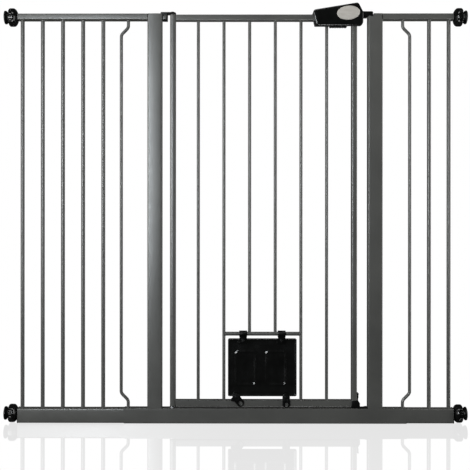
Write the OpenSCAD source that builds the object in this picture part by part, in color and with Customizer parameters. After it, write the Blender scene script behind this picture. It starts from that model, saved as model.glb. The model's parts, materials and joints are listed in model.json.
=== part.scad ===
// Pressure-fit pet gate: a U-shaped frame with a swinging barred door, a lockable cat flap low in
// the door, an extension panel on each side and four adjustable wall fittings.
// X runs across the gate, Y from front to back, Z up from the floor. Millimetres.

/* [Gate] */
// Distance between the two walls with the spindles wound in
opening_w = 1175; // [1160:1:1190]
// Height of the frame
frame_h = 1040; // [900:1:1100]
// Distance from the gate's middle to each rail end
rail_end_x = 553; // [551:1:554]

/* [Frame tubes] */
// Depth of the posts and rails, front to back
tube_d = 25; // [24:0.5:26]
// Width of each post
post_w = 38; // [34:1:40]
// Height of the bottom rail
bottom_h = 38; // [36:1:38]
// Height of the top side rails
top_h = 15; // [15:0.5:16]
// Wall thickness of the frame and door tubes
wall = 1.5; // [1.2:0.1:1.6]
// Corner radius of the frame and door tubes
corner = 3; // [2:0.5:4]
// Middle of the left post
left_post_x = -205; // [-206:0.5:-205]
// Middle of the right post
right_post_x = 355; // [355:0.5:356]
// Joint between the main frame and the left extension
left_seam_x = -283; // [-290:1:-280]
// Joint between the main frame and the right extension
right_seam_x = 434; // [430:1:440]

/* [Bars] */
// Diameter of the extension bars
ext_bar_d = 10; // [8:0.5:12]
// Diameter of the door and offset bars
bar_d = 8; // [7:0.5:9]
// Wall thickness of the hollow bars
bar_wall = 1; // [0.8:0.1:1.2]
// Spacing of the left extension bars
ext_pitch = 51.5; // [48:0.5:52]
// Sideways jog of the offset bars beside the posts
jog = 18; // [14:1:20]
// Bend radius of the offset bars
bend_r = 14; // [12:1:16]
// Angle of the offset bars' bends
bend_a = 45; // [40:1:50]

/* [Door] */
// Door hinge axis
hinge_x = -160.5; // [-160.5:0.5:-160]
// Middle of the hinge stile
hinge_stile_x = -159; // [-159:0.5:-158.5]
// Middle of the latch stile
latch_stile_x = 302; // [301:0.5:302]
// Width of the stiles and height of the door rails
door_tube_w = 15; // [15:0.5:16]
// Depth of the stiles and door rails
door_tube_d = 20; // [18:0.5:20]
// Height of the door's lower edge
door_bottom_z = 43; // [43:0.5:44]
// Gap from the door's upper edge to the frame's top
door_top_gap = 2; // [2:0.5:3]
// First door bar
first_bar_x = -94.5; // [-96:0.5:-93]
// Spacing of the door bars
door_pitch = 65.4; // [65:0.1:66]

/* [Cat flap] */
// Height of the crossbar that the flap hangs on
crossbar_z = 226.3; // [222:0.1:230]
// Diameter of the crossbar
crossbar_d = 10; // [9:0.5:10]
// Width of the flap
flap_w = 175; // [165:1:180]
// Thickness of the flap
flap_t = 8; // [7:0.5:8]
// Gap from the crossbar's axis to the flap's upper edge
flap_drop = 12; // [12:0.5:14]
// Height of the flap's lower edge
flap_bottom_z = 67.3; // [67:0.1:70]
// Left catch's tilt from hanging straight down
left_lever_tilt = 36; // [0:1:60]

/* [Wall fittings] */
// Spindle diameter
spindle_d = 10; // [9:0.5:10]
// Spindle length
spindle_l = 105; // [95:1:120]
// Radius of the hand nuts
nut_r = 23; // [22.5:0.1:23]
// Height of the lower spindles
lower_spindle_z = 23.5; // [23.3:0.1:24]
// Radius of the wall cups
cup_r = 17; // [15:0.5:19]
// Radius of the screw hole through each wall cup
cup_screw_r = 2.25; // [2:0.05:2.5]

/* [Handle] */
// Front of the handle cover
handle_front_y = -22; // [-23:0.5:-20]
// Rear of the handle body
handle_rear_y = 18; // [17:0.5:20]
// Thickness of the handle shells
shell_t = 2.5; // [2:0.1:3]
// Reach of the latch bolt over the right post
bolt_reach = 14; // [10:0.5:14]

/* [Hidden] */
$fn = 48;
SLATE = [0.29, 0.29, 0.28];
BLACK = [0.04, 0.04, 0.04];
STEEL = [0.62, 0.62, 0.64];
RUBBER = [0.10, 0.10, 0.10];
SILVER = [0.74, 0.72, 0.68];

big = 2000;
fit = 0.06;                 // radial clearance of a running fit
cut = 1;                    // how far a cutting shape passes a face
wall_x = opening_w / 2;
left_post_in = left_post_x + post_w / 2;
left_post_out = left_post_x - post_w / 2;
right_post_in = right_post_x - post_w / 2;
right_post_out = right_post_x + post_w / 2;
top_rail_z = frame_h - top_h;
upper_spindle_z = frame_h - top_h / 2;
door_top_z = frame_h - door_top_gap;
door_rail_z = door_top_z - door_tube_w;
door_low_rail_top = door_bottom_z + door_tube_w;
door_in_left = hinge_stile_x + door_tube_w / 2;
door_in_right = latch_stile_x - door_tube_w / 2;
door_bars = [for (i = [0:5]) first_bar_x + i * door_pitch];
flap_x = (door_bars[1] + door_bars[4]) / 2;
flap_top_z = crossbar_z - flap_drop;

// ---------------------------------------------------------------- outlines and tubes

// Outward normal of the edge from a to b of a counter-clockwise outline
function edge_normal(a, b) = [b[1] - a[1], a[0] - b[0]] / norm(b - a);

// The corners of a convex counter-clockwise outline, each edge moved inwards by d
function inset(points, d) = [
    for (i = [0:len(points) - 1])
        let (
            n = len(points),
            before = edge_normal(points[(i + n - 1) % n], points[i]),
            after = edge_normal(points[i], points[(i + 1) % n])
        )
        points[i] - d * (before + after) / (1 + before * after)
];

// A convex outline with every corner rounded to radius r
module rounded_outline(points, r) {
    centres = inset(points, r);
    n = len(centres);
    polygon([
        for (i = [0:n - 1], k = [0, 1])
            centres[i] + r * edge_normal(centres[(i + n - 1 + k) % n], centres[(i + k) % n])
    ]);
    for (c = centres) translate(c) circle(r);
}

function rectangle(w, h) = [[-w / 2, -h / 2], [w / 2, -h / 2], [w / 2, h / 2], [-w / 2, h / 2]];

module rounded_rectangle(w, h, r) {
    rounded_outline(rectangle(w, h), r);
}

module tube_section(w, h) {
    difference() {
        rounded_rectangle(w, h, corner);
        rounded_rectangle(w - 2 * wall, h - 2 * wall, corner - wall);
    }
}

// The space inside a tube of w by h, which plugs and spigots fill
module tube_bore(w, h) {
    rounded_rectangle(w - 2 * wall, h - 2 * wall, corner - wall);
}

// Extrudes a (Y, Z) section along X from x0 to x1, about height z
module along_x(x0, x1, z) {
    translate([x0, 0, z]) rotate([90, 0, 90]) linear_extrude(x1 - x0) children();
}

// Extrudes an (X, Y) section upwards from z0 to z1
module upright(x, z0, z1) {
    translate([x, 0, z0]) linear_extrude(z1 - z0) children();
}

// Extrudes an (X, Z) outline from y0 at the front to y1 at the back
module front_to_back(y0, y1) {
    translate([0, y1, 0]) rotate([90, 0, 0]) linear_extrude(y1 - y0) children();
}

module block(x0, x1, y0, y1, z0, z1) {
    translate([x0, y0, z0]) cube([x1 - x0, y1 - y0, z1 - z0]);
}

module rod_y(x, z, r, y0, y1) {
    translate([x, y0, z]) rotate([-90, 0, 0]) cylinder(r = r, h = y1 - y0);
}

module rod_x(x0, x1, z, r) {
    translate([x0, 0, z]) rotate([0, 90, 0]) cylinder(r = r, h = x1 - x0);
}

module hollow_bar(x, z0, z1, d) {
    translate([x, 0, z0]) difference() {
        cylinder(d = d, h = z1 - z0);
        translate([0, 0, -cut]) cylinder(d = d - 2 * bar_wall, h = z1 - z0 + 2 * cut);
    }
}

// ---------------------------------------------------------------- main frame

module bottom_rail() {
    color(SLATE) along_x(left_seam_x, right_seam_x, bottom_h / 2) tube_section(tube_d, bottom_h);
}

module post(x) {
    upright(x, bottom_h, frame_h) tube_section(post_w, tube_d);
}

module left_post() {
    color(SLATE) post(left_post_x);
}

// The bolt rests in a notch across the top of the right post
notch_z = frame_h - 7;
notch_x = right_post_in + bolt_reach + 0.5;
module bolt_notch() {
    block(right_post_in - cut, notch_x, -tube_d, tube_d, notch_z, frame_h + cut);
}

module right_post() {
    color(SLATE) difference() {
        post(right_post_x);
        bolt_notch();
    }
}

module left_stub_rail() {
    color(SLATE) along_x(left_seam_x, left_post_out, upper_spindle_z) tube_section(tube_d, top_h);
}

module right_stub_rail() {
    color(SLATE) along_x(right_post_out, right_seam_x, upper_spindle_z) tube_section(tube_d, top_h);
}

// The rows [x, z, tilt] of a rod that runs up from the origin: each step is [straight length,
// bend after it], and a positive bend turns towards +X
bend_rings = 5;
function arc_row(p, tilt, turn) = [
    p[0] + sign(turn) * bend_r * (cos(tilt) - cos(tilt + turn)),
    p[1] + sign(turn) * bend_r * (sin(tilt + turn) - sin(tilt)),
    tilt + turn
];
function rod_rows(steps, row = [0, 0, 0], i = 0) = i == len(steps) ? [] :
    let (
        tilt = row[2],
        turn = steps[i][1],
        bend = [row[0] + steps[i][0] * sin(tilt), row[1] + steps[i][0] * cos(tilt), tilt],
        arc = turn == 0 ? [] : [for (k = [1:bend_rings]) arc_row(bend, tilt, turn * k / bend_rings)]
    )
    concat([bend], arc, rod_rows(steps, turn == 0 ? bend : arc[bend_rings - 1], i + 1));

// A round tube of outer radius r along the rows of a path that stays in the XZ plane
tube_sides = 16;
function tube_ring(row, r) = [for (k = [0:tube_sides - 1])
    let (a = 360 * k / tube_sides)
    [row[0] + r * cos(a) * cos(row[2]), r * sin(a), row[1] - r * cos(a) * sin(row[2])]];

module bent_tube(rows, r) {
    n = tube_sides;
    last = len(rows) - 1;
    inner = n * len(rows);
    points = concat([for (row = rows) each tube_ring(row, r)],
        [for (row = rows) each tube_ring(row, r - bar_wall)]);
    sides = [for (i = [0:last - 1], k = [0:n - 1]) let (j = (k + 1) % n, a = i * n, b = a + n)
        each [[a + k, b + k, b + j, a + j], [inner + a + k, inner + a + j, inner + b + j, inner + b + k]]];
    ends = [for (k = [0:n - 1]) let (j = (k + 1) % n, top = last * n)
        each [[k, j, inner + j, inner + k], [top + k, inner + top + k, inner + top + j, top + j]]];
    polyhedron(points, concat(sides, ends));
}

jog_foot = 13;
jog_slant = (jog - 2 * bend_r * (1 - cos(bend_a))) / sin(bend_a);
jog_rise = 2 * bend_r * sin(bend_a) + jog_slant * cos(bend_a);
jog_middle = top_rail_z - bottom_h - 2 * (jog_foot + jog_rise);

module offset_bar(foot_x, side) {
    a = side * bend_a;
    steps = [[jog_foot, a], [jog_slant, -a], [jog_middle, -a], [jog_slant, a], [jog_foot, 0]];
    translate([foot_x, 0, bottom_h]) bent_tube(concat([[0, 0, 0]], rod_rows(steps)), bar_d / 2);
}

module left_offset_bar() {
    color(SLATE) offset_bar(left_seam_x + 10, -1);
}

module right_offset_bar() {
    color(SLATE) offset_bar(right_seam_x - 8, 1);
}

module left_post_cap() {
    color(BLACK) upright(left_post_x, frame_h - 14, frame_h - 0.6) tube_bore(post_w, tube_d);
}

module strike_insert() {
    color(BLACK) difference() {
        upright(right_post_x, frame_h - 30, frame_h - 0.6) tube_bore(post_w, tube_d);
        bolt_notch();
    }
}

keeper_x0 = latch_stile_x - 6;
module bottom_keeper() {
    color(BLACK) difference() {
        block(keeper_x0, right_post_in, -11, 11, bottom_h, bottom_h + 2.2);
        rod_y(keeper_x0 + 26, bottom_h + 40.8, 40, -12, 12);
    }
}

// ---------------------------------------------------------------- door hinges

lug_x1 = left_post_in + 10;
module upper_hinge_lug() {
    color(SLATE) block(left_post_in, lug_x1, -6, 6, frame_h - 13.5, frame_h - 2.5);
}

pin_r = 3.5;
arm_t = 4.3;
module upper_hinge_cap() {
    color(BLACK) {
        difference() {
            union() {
                block(left_post_in, left_post_in + 13.2, -9, 9, frame_h - 16.5, frame_h);
                translate([0, 0, frame_h]) linear_extrude(arm_t) {
                    translate([left_post_in - 4, -9]) square([hinge_x - left_post_in + 4, 18]);
                    translate([hinge_x, 0]) circle(9);
                }
            }
            block(left_post_in - cut, lug_x1, -6, 6, frame_h - 13.5, frame_h - 2.5);
            block(left_post_in + 1.5, lug_x1, -10, -6, frame_h - 13.5, frame_h - 2.5);
            translate([hinge_x, 0, frame_h - cut]) cylinder(r = pin_r, h = arm_t);
        }
        translate([hinge_x, 0, frame_h + arm_t]) cylinder(r1 = 6.5, r2 = 4.5, h = 2.2);
    }
}

module upper_hinge_pin() {
    color(STEEL) translate([hinge_x, 0, frame_h - 24]) cylinder(r = pin_r, h = 23 + arm_t);
}

collar_h = 3.2;
module lower_hinge_pin() {
    color(STEEL) translate([hinge_x, 0, bottom_h]) {
        cylinder(r = 6, h = collar_h);
        cylinder(r = pin_r, h = 26);
    }
}

// ---------------------------------------------------------------- extension panels

module extension_rails(x0, x1, height, z) {
    along_x(x0, x1, z) tube_section(tube_d, height);
}

module left_extension_top_rail() {
    color(SLATE) extension_rails(-rail_end_x, left_seam_x, top_h, upper_spindle_z);
}

module left_extension_bottom_rail() {
    color(SLATE) extension_rails(-rail_end_x, left_seam_x, bottom_h, bottom_h / 2);
}

module right_extension_top_rail() {
    color(SLATE) extension_rails(right_seam_x, rail_end_x, top_h, upper_spindle_z);
}

module right_extension_bottom_rail() {
    color(SLATE) extension_rails(right_seam_x, rail_end_x, bottom_h, bottom_h / 2);
}

end_bar_inset = 10;
module left_extension_bars() {
    color(SLATE) for (i = [0:4])
        hollow_bar(-rail_end_x + end_bar_inset + i * ext_pitch, bottom_h, top_rail_z, ext_bar_d);
}

module right_extension_bars() {
    color(SLATE) for (i = [0, 1])
        hollow_bar(rail_end_x - end_bar_inset - i * 50, bottom_h, top_rail_z, ext_bar_d);
}

spigot_half = 40;
module joining_spigots() {
    color(BLACK) for (x = [left_seam_x, right_seam_x]) {
        along_x(x - spigot_half, x + spigot_half, upper_spindle_z) tube_bore(tube_d, top_h);
        along_x(x - spigot_half, x + spigot_half, bottom_h / 2) difference() {
            tube_bore(tube_d, bottom_h);
            rounded_rectangle(tube_d - 4 * wall, bottom_h - 4 * wall, 1);
        }
    }
}

// ---------------------------------------------------------------- wall fittings

bush_flange = 1.5;
bush_depth = 22;

// Places a fitting on a wall: its own Z runs inwards from the wall's face
module at_wall(side, z) {
    translate([side * wall_x, 0, z]) rotate([0, -90 * side, 0]) children();
}

module bush(side, spindle_z, height, rail_z) {
    x_end = rail_end_x + bush_flange;
    difference() {
        union() {
            along_x(side > 0 ? rail_end_x - bush_depth : -rail_end_x,
                    side > 0 ? rail_end_x : -rail_end_x + bush_depth, rail_z)
                tube_bore(tube_d, height);
            along_x(side > 0 ? rail_end_x : -x_end, side > 0 ? x_end : -rail_end_x, rail_z)
                rounded_rectangle(tube_d, height, corner);
        }
        along_x(side > 0 ? rail_end_x - bush_depth - cut : -x_end - cut,
                side > 0 ? x_end + cut : -rail_end_x + bush_depth + cut, spindle_z)
            circle(spindle_d / 2 + fit);
    }
}

module spindle_bushes() {
    color(BLACK) for (side = [-1, 1]) {
        bush(side, upper_spindle_z, top_h, upper_spindle_z);
        bush(side, lower_spindle_z, bottom_h, bottom_h / 2);
    }
}

cup_h = 10.2;
pad_t = 1.5;
nut_u0 = cup_h + 0.4;
nut_u1 = wall_x - rail_end_x - bush_flange - 0.3;
dome_u = nut_u1 - 10.5;
nut_hub_r = 14;
nut_face_r = 9;

// Domed flange of the hand nut: radius against distance from the wall
dome_a = acos(nut_face_r / nut_r);
dome = [for (i = [0:8]) let (a = dome_a * i / 8)
    [nut_r * cos(a), dome_u + (nut_u1 - dome_u) * sin(a) / sin(dome_a)]];

wing_u0 = nut_u0 + 0.4;
wing_round = 4;
wing_gap_a = 38;            // half the angle left open at the front and back

module hand_nut(side, z) {
    color(BLACK) at_wall(side, z) difference() {
        union() {
            rotate_extrude() polygon(concat([[0, dome_u], [0, nut_u1]],
                [for (i = [8:-1:0]) dome[i]]));
            translate([0, 0, nut_u0]) cylinder(r = nut_hub_r, h = dome_u - nut_u0 + cut, $fn = 10);
            difference() {
                rotate_extrude() {
                    translate([nut_hub_r - 3, wing_u0])
                        square([nut_r - wing_round - nut_hub_r + 3, dome_u - wing_u0]);
                    translate([nut_r - wing_round, wing_u0 + wing_round])
                        square([wing_round, dome_u - wing_u0 - wing_round]);
                    translate([nut_r - wing_round, wing_u0 + wing_round]) circle(wing_round);
                }
                translate([0, 0, nut_u0 - cut]) linear_extrude(dome_u - nut_u0 + cut)
                    for (s = [-1, 1])
                        polygon([[0, 0], [-big * sin(wing_gap_a), s * big * cos(wing_gap_a)] / 40,
                            [big * sin(wing_gap_a), s * big * cos(wing_gap_a)] / 40]);
            }
        }
        translate([0, 0, nut_u0 - cut])
            cylinder(r = spindle_d / 2 + fit, h = nut_u1 - nut_u0 + 2 * cut);
    }
}

socket_u = pad_t + 3;
module spindle(side, z) {
    color(STEEL) at_wall(side, z) translate([0, 0, socket_u]) difference() {
        cylinder(d = spindle_d, h = spindle_l);
        translate([0, 0, -cut]) cylinder(r = spindle_d / 2 - 1.6, h = 6);
    }
}

// Trumpet-shaped cup, wide at the wall and narrow at the spindle
cup_neck_r = 12.5;
cup_rim_t = 2;
cup_curve = [for (i = [0:6]) let (t = i / 6)
    [cup_neck_r + (cup_r - cup_neck_r) * pow(1 - t, 2), pad_t + cup_rim_t + t * (cup_h - pad_t - cup_rim_t)]];

module wall_cup(side, z) {
    color(BLACK) at_wall(side, z) difference() {
        rotate_extrude() polygon(concat([[0, pad_t], [cup_r, pad_t]], cup_curve, [[0, cup_h]]));
        translate([0, 0, socket_u]) cylinder(d = spindle_d, h = cup_h);
        translate([0, 0, pad_t - cut]) cylinder(r = cup_screw_r, h = 2 * cut + 3);
    }
}

module wall_pad(side, z) {
    color(RUBBER) at_wall(side, z) difference() {
        cylinder(r = cup_r, h = pad_t);
        translate([0, 0, -cut]) cylinder(r = 4.5, h = pad_t + 2 * cut);
    }
}

module upper_left_hand_nut() { hand_nut(-1, upper_spindle_z); }
module lower_left_hand_nut() { hand_nut(-1, lower_spindle_z); }
module upper_right_hand_nut() { hand_nut(1, upper_spindle_z); }
module lower_right_hand_nut() { hand_nut(1, lower_spindle_z); }
module upper_left_spindle() { spindle(-1, upper_spindle_z); }
module lower_left_spindle() { spindle(-1, lower_spindle_z); }
module upper_right_spindle() { spindle(1, upper_spindle_z); }
module lower_right_spindle() { spindle(1, lower_spindle_z); }
module upper_left_wall_cup() { wall_cup(-1, upper_spindle_z); }
module lower_left_wall_cup() { wall_cup(-1, lower_spindle_z); }
module upper_right_wall_cup() { wall_cup(1, upper_spindle_z); }
module lower_right_wall_cup() { wall_cup(1, lower_spindle_z); }
module upper_left_wall_pad() { wall_pad(-1, upper_spindle_z); }
module lower_left_wall_pad() { wall_pad(-1, lower_spindle_z); }
module upper_right_wall_pad() { wall_pad(1, upper_spindle_z); }
module lower_right_wall_pad() { wall_pad(1, lower_spindle_z); }

// ---------------------------------------------------------------- door

module stile(x) {
    upright(x, door_bottom_z, door_top_z) tube_section(door_tube_w, door_tube_d);
}

module hinge_stile() {
    color(SLATE) stile(hinge_stile_x);
}

module latch_stile() {
    color(SLATE) stile(latch_stile_x);
}

module door_rail(z0) {
    along_x(door_in_left, door_in_right, z0 + door_tube_w / 2)
        tube_section(door_tube_d, door_tube_w);
}

module door_top_rail() {
    color(SLATE) door_rail(door_rail_z);
}

module door_bottom_rail() {
    color(SLATE) door_rail(door_bottom_z);
}

module door_bars_left() {
    color(SLATE) for (i = [0, 1])
        hollow_bar(door_bars[i], door_low_rail_top, door_rail_z, bar_d);
}

module door_bars_right() {
    color(SLATE) for (i = [4, 5])
        hollow_bar(door_bars[i], door_low_rail_top, door_rail_z, bar_d);
}

module crossbar_rod(r) {
    rod_x(door_bars[1] + 1.5, door_bars[4] - 1.5, crossbar_z, r);
}

module door_short_bars() {
    color(SLATE) difference() {
        for (i = [2, 3]) hollow_bar(door_bars[i], crossbar_z + 2, door_rail_z, bar_d);
        crossbar_rod(crossbar_d / 2);
    }
}

module flap_crossbar() {
    color(SLATE) difference() {
        crossbar_rod(crossbar_d / 2);
        for (i = [1, 4]) translate([door_bars[i], 0, crossbar_z - 20]) cylinder(d = bar_d, h = 40);
    }
}

bush_l = 24;
flange_t = 1.3;
module hinge_bush(z_stile_end, up) {
    z0 = up ? z_stile_end - bush_l : z_stile_end;
    flange_z = up ? z_stile_end : z_stile_end - flange_t;
    difference() {
        union() {
            upright(hinge_stile_x, z0, z0 + bush_l) tube_bore(door_tube_w, door_tube_d);
            upright(hinge_stile_x, flange_z, flange_z + flange_t)
                rounded_rectangle(door_tube_w, door_tube_d, corner);
        }
        translate([hinge_x, 0, z0 - 2 * flange_t]) cylinder(r = pin_r + fit, h = bush_l + 4 * flange_t);
    }
}

module hinge_bushes() {
    color(BLACK) {
        hinge_bush(door_top_z, true);
        hinge_bush(door_bottom_z, false);
    }
}

catch_z0 = door_bottom_z - 1.8;
catch_x0 = latch_stile_x - 6;
catch_x1 = latch_stile_x + 14;
stile_right = latch_stile_x + door_tube_w / 2;
module bottom_catch() {
    color(BLACK) difference() {
        union() {
            block(catch_x0, catch_x1, -12, 12, catch_z0, door_low_rail_top);
            block(stile_right, stile_right + 3.5, -7, 7, door_low_rail_top - 1, door_low_rail_top + 17);
            rod_y(stile_right + 2.2, door_low_rail_top + 16, 2.2, -7, 7);
        }
        block(catch_x0 - cut, stile_right, -door_tube_d / 2, door_tube_d / 2,
            door_bottom_z, door_low_rail_top + 30);
        rod_y(catch_x1 + 6, door_low_rail_top + 2, 10, -13, 13);
    }
}

// ---------------------------------------------------------------- handle and latch

// Handle outline in (X, Z), seen from the front
handle = [
    [204.5, 1007.3], [318, 1007.3], [322.9, 1014.5], [323.5, 1040.4], [310.5, 1066], [194.8, 1047]
];
handle_r = 7.5;
split_y = -10.5;
step_x = 283;
step_z = 1025;
rail_gap = 0.2;
draft_h = 6;

bolt_z0 = door_top_z + 0.6;
bolt_z1 = bolt_z0 + 8.4;
bolt_half_y = 6;
bolt_x0 = 242;
bolt_x1 = right_post_in + bolt_reach;
lug_x0 = 326;
lug_z0 = 1031;
link_x0 = 245;
link_x1 = 275;
link_y0 = -14;
link_y1 = -11;
travel = 16;
grip_x0 = 238;
grip_x1 = 281;
grip_z0 = 1003.5;
grip_z1 = 1012;
screw_xz = [[212.5, 1016.9], [256, 1051.4], [299, 1054]];
boss_r = 3.4;
screw_r = 1.5;
head_r = 2.8;

module handle_solid(y0, y1, d) {
    front_to_back(y0, y1) rounded_outline(inset(handle, d), handle_r - d);
}

module release_slot() {
    block(grip_x0 - travel - 1.5, grip_x1 + 1.5, -20.5, -5, 1000, 1010.5);
}

module handle_cover() {
    color(BLACK) difference() {
        union() {
            difference() {
                handle_solid(handle_front_y, split_y, 0);
                handle_solid(handle_front_y + shell_t, split_y + cut, shell_t);
            }
            for (s = screw_xz) rod_y(s[0], s[1], boss_r, handle_front_y + 1, split_y);
        }
        for (s = screw_xz) rod_y(s[0], s[1], screw_r, handle_front_y + shell_t, split_y + cut);
        release_slot();
        badge_place(handle_front_y - cut, handle_front_y + 0.6) badge_outline(badge_a, badge_b);
    }
}

// The body's lower right corner is cut back behind the latch stile
module step_cut(d) {
    front_to_back(split_y - cut, handle_rear_y + cut)
        polygon([[step_x - d, 990], [400, 990], [400, step_z + d], [step_x + 4 - d, step_z + d]]);
}

// The body's underside rises towards the back
module draft_cut(d) {
    translate([150, 0, 0]) rotate([90, 0, 90]) linear_extrude(200)
        polygon([[-9, 980], [-9, handle[0][1] + d], [handle_rear_y + cut, handle[0][1] + d + draft_h],
            [handle_rear_y + cut, 980]]);
}

module handle_body() {
    color(BLACK) difference() {
        union() {
            difference() {
                handle_solid(split_y, handle_rear_y, 0);
                difference() {
                    handle_solid(split_y - cut, handle_rear_y - shell_t, shell_t);
                    step_cut(shell_t);
                    draft_cut(shell_t);
                }
                step_cut(0);
                draft_cut(0);
            }
            intersection() {
                handle_solid(split_y, handle_rear_y, 0);
                union() {
                    for (s = screw_xz) rod_y(s[0], s[1], boss_r, split_y, handle_rear_y - 1);
                    block(207.5, 211.5, -8, handle_rear_y - 1, bolt_z0 - 0.3, 1060);
                }
            }
        }
        for (s = screw_xz) {
            rod_y(s[0], s[1], screw_r, split_y - cut, handle_rear_y);
            rod_y(s[0], s[1], head_r + 0.2, handle_rear_y - shell_t, handle_rear_y + cut);
        }
        release_slot();
        block(190, 206, split_y - cut, door_tube_d / 2 + rail_gap,
            door_rail_z - rail_gap, door_top_z + rail_gap);
        translate([door_bars[5], 0, 1000]) cylinder(d = bar_d + 0.6, h = 15);
        block(step_x - shell_t - rail_gap, stile_right + rail_gap,
            split_y - cut, door_tube_d / 2 + rail_gap, 1000, 1030);
        block(309, 330, -bolt_half_y - 0.5, bolt_half_y + 0.5, lug_z0 - 0.5, bolt_z1 + 0.5);
    }
}

// The badge is an oval of half-width a and half-height b
badge_a = 29;
badge_b = 17.6;
badge_x = 285;
badge_z = 1038.8;
badge_tilt = 5;

module badge_outline(a, b) {
    polygon([for (t = [0:5:355]) [a * cos(t), b * sin(t)]]);
}

module badge_place(y0, y1) {
    translate([badge_x, 0, badge_z]) rotate([0, -badge_tilt, 0]) front_to_back(y0, y1) children();
}

module handle_badge() {
    color(SILVER) difference() {
        badge_place(-nut_r, handle_front_y + 0.6) badge_outline(badge_a, badge_b);
        badge_place(-nut_r - cut, -nut_r + 0.5) badge_outline(badge_a - 2, badge_b - 2);
    }
}

module handle_screws() {
    color(STEEL) for (s = screw_xz) {
        rod_y(s[0], s[1], screw_r, handle_front_y + shell_t + 0.5, handle_rear_y - shell_t);
        difference() {
            rod_y(s[0], s[1], head_r, handle_rear_y - shell_t, handle_rear_y - 0.6);
            for (a = [0, 90]) translate([s[0], 0, s[1]]) rotate([0, a, 0])
                block(-1.6, 1.6, handle_rear_y - 1.6, handle_rear_y, -0.4, 0.4);
        }
    }
}

spring_x0 = 211.5;
spring_z = bolt_z0 + 3.2;
spring_turns = 9;
spring_mean_r = 2.3;
wire_r = 0.45;
module bolt_spring() {
    color(STEEL) translate([spring_x0 + 0.1, 0, spring_z]) rotate([0, 90, 0])
        linear_extrude(bolt_x0 - spring_x0 - 0.2, twist = -360 * spring_turns,
            slices = 12 * spring_turns, $fn = 6)
            translate([spring_mean_r, 0]) circle(wire_r, $fn = 6);
}

module latch_bolt() {
    color(BLACK) {
        difference() {
            union() {
                block(bolt_x0, lug_x0, -bolt_half_y, bolt_half_y, bolt_z0, bolt_z1);
                block(lug_x0, right_post_in - 1, -bolt_half_y, bolt_half_y, lug_z0, bolt_z1);
                block(right_post_in - 1, bolt_x1, -bolt_half_y, bolt_half_y, notch_z + 0.4, bolt_z1);
            }
            translate([bolt_x1, 0, bolt_z1]) rotate([0, 45, 0]) cube([3, 40, 3], center = true);
        }
        block(link_x0, link_x1, link_y0, -bolt_half_y, bolt_z0, bolt_z1);
        block(link_x0, link_x1, link_y0, link_y1, grip_z0 + 3, bolt_z1);
        rod_x(bolt_x0 - 10, bolt_x0 + cut, spring_z, 1.6);
    }
}

module release_catch() {
    color(BLACK) difference() {
        block(grip_x0, grip_x1, -19.5, -6, grip_z0, grip_z1);
        block(link_x0, link_x1, link_y0, link_y1, grip_z0 + 3, grip_z1 + cut);
        for (i = [0:5]) rod_y(grip_x0 + 6.5 + i * 6, grip_z0 - 0.6, 1.4, -21, -5);
    }
}

// ---------------------------------------------------------------- cat flap

lever_x = [2, 129];
lever_pivot_z = 67;
lever_y0 = -14;
lever_y1 = -10.5;
lever_pin_r = 2.5;
lever_r = 9.5;
lever_reach = 17.5;
tab_r = 4.5;
flap_front = -flap_t / 2;
clip_x = [20, 118];
clip_w = 20;
clip_r = 8;
frame_w = 53;
frame_hh = 88;
frame_x = [-42, 35];        // the two raised frames, from the flap's middle
frame_z = 139;

module raised_frames(y0, y1) {
    for (dx = frame_x) translate([flap_x + dx, 0, frame_z]) front_to_back(y0, y1) difference() {
        rounded_rectangle(frame_w, frame_hh, 6);
        rounded_rectangle(frame_w - 7, frame_hh - 7, 3);
    }
}

module flap_panel() {
    height = flap_top_z - flap_bottom_z;
    mid_z = (flap_top_z + flap_bottom_z) / 2;
    color(BLACK) difference() {
        union() {
            translate([flap_x, 0, mid_z]) front_to_back(-flap_t / 2, flap_t / 2) difference() {
                rounded_rectangle(flap_w, height, 4);
                rounded_rectangle(flap_w - 8, height - 8, 2);
            }
            translate([flap_x, 0, mid_z]) front_to_back(-flap_t / 2 + 1.2, flap_t / 2 - 1.2)
                rounded_rectangle(flap_w - 4, height - 4, 2);
            raised_frames(-flap_t / 2 - 0.6, flap_t / 2 + 0.6);
            for (x = lever_x) {
                rod_y(x, lever_pivot_z + 1, 7, -flap_t / 2, flap_t / 2);
                block(x - 7, x + 7, -flap_t / 2, flap_t / 2, lever_pivot_z + 1, lever_pivot_z + 8);
            }
            for (x = clip_x)
                block(x - 12, x + 12, -flap_t / 2, flap_t / 2, flap_top_z - 14, flap_top_z - 1);
        }
        for (x = lever_x) rod_y(x, lever_pivot_z, lever_pin_r, -flap_t, flap_t);
    }
}

module flap_clips() {
    color(BLACK) for (x = clip_x) difference() {
        union() {
            rod_x(x - clip_w / 2, x + clip_w / 2, crossbar_z, clip_r);
            block(x - clip_w / 2 + 0.7, x + clip_w / 2 - 0.7, flap_front - 2.8, flap_front,
                flap_top_z - 11, crossbar_z);
            block(x - clip_w / 2 + 0.7, x + clip_w / 2 - 0.7, flap_front - 2.8, 3,
                flap_top_z, crossbar_z - 4);
            rod_y(x, flap_top_z - 6, 3.2, flap_front - 4, flap_front - 2);
        }
        rod_x(x - clip_w, x + clip_w, crossbar_z, crossbar_d / 2 + fit);
        block(x - clip_w, x + clip_w, 0, clip_r + cut, crossbar_z - 1, crossbar_z + 6);
    }
}

module lever_pins() {
    color(BLACK) for (x = lever_x) {
        rod_y(x, lever_pivot_z, lever_pin_r, lever_y0 - 0.3, flap_t / 2);
        rod_y(x, lever_pivot_z, 4.4, lever_y0 - 1.7, lever_y0 - 0.3);
        rod_y(x, lever_pivot_z, 4.4, flap_t / 2, flap_t / 2 + 1.4);
    }
}

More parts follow.
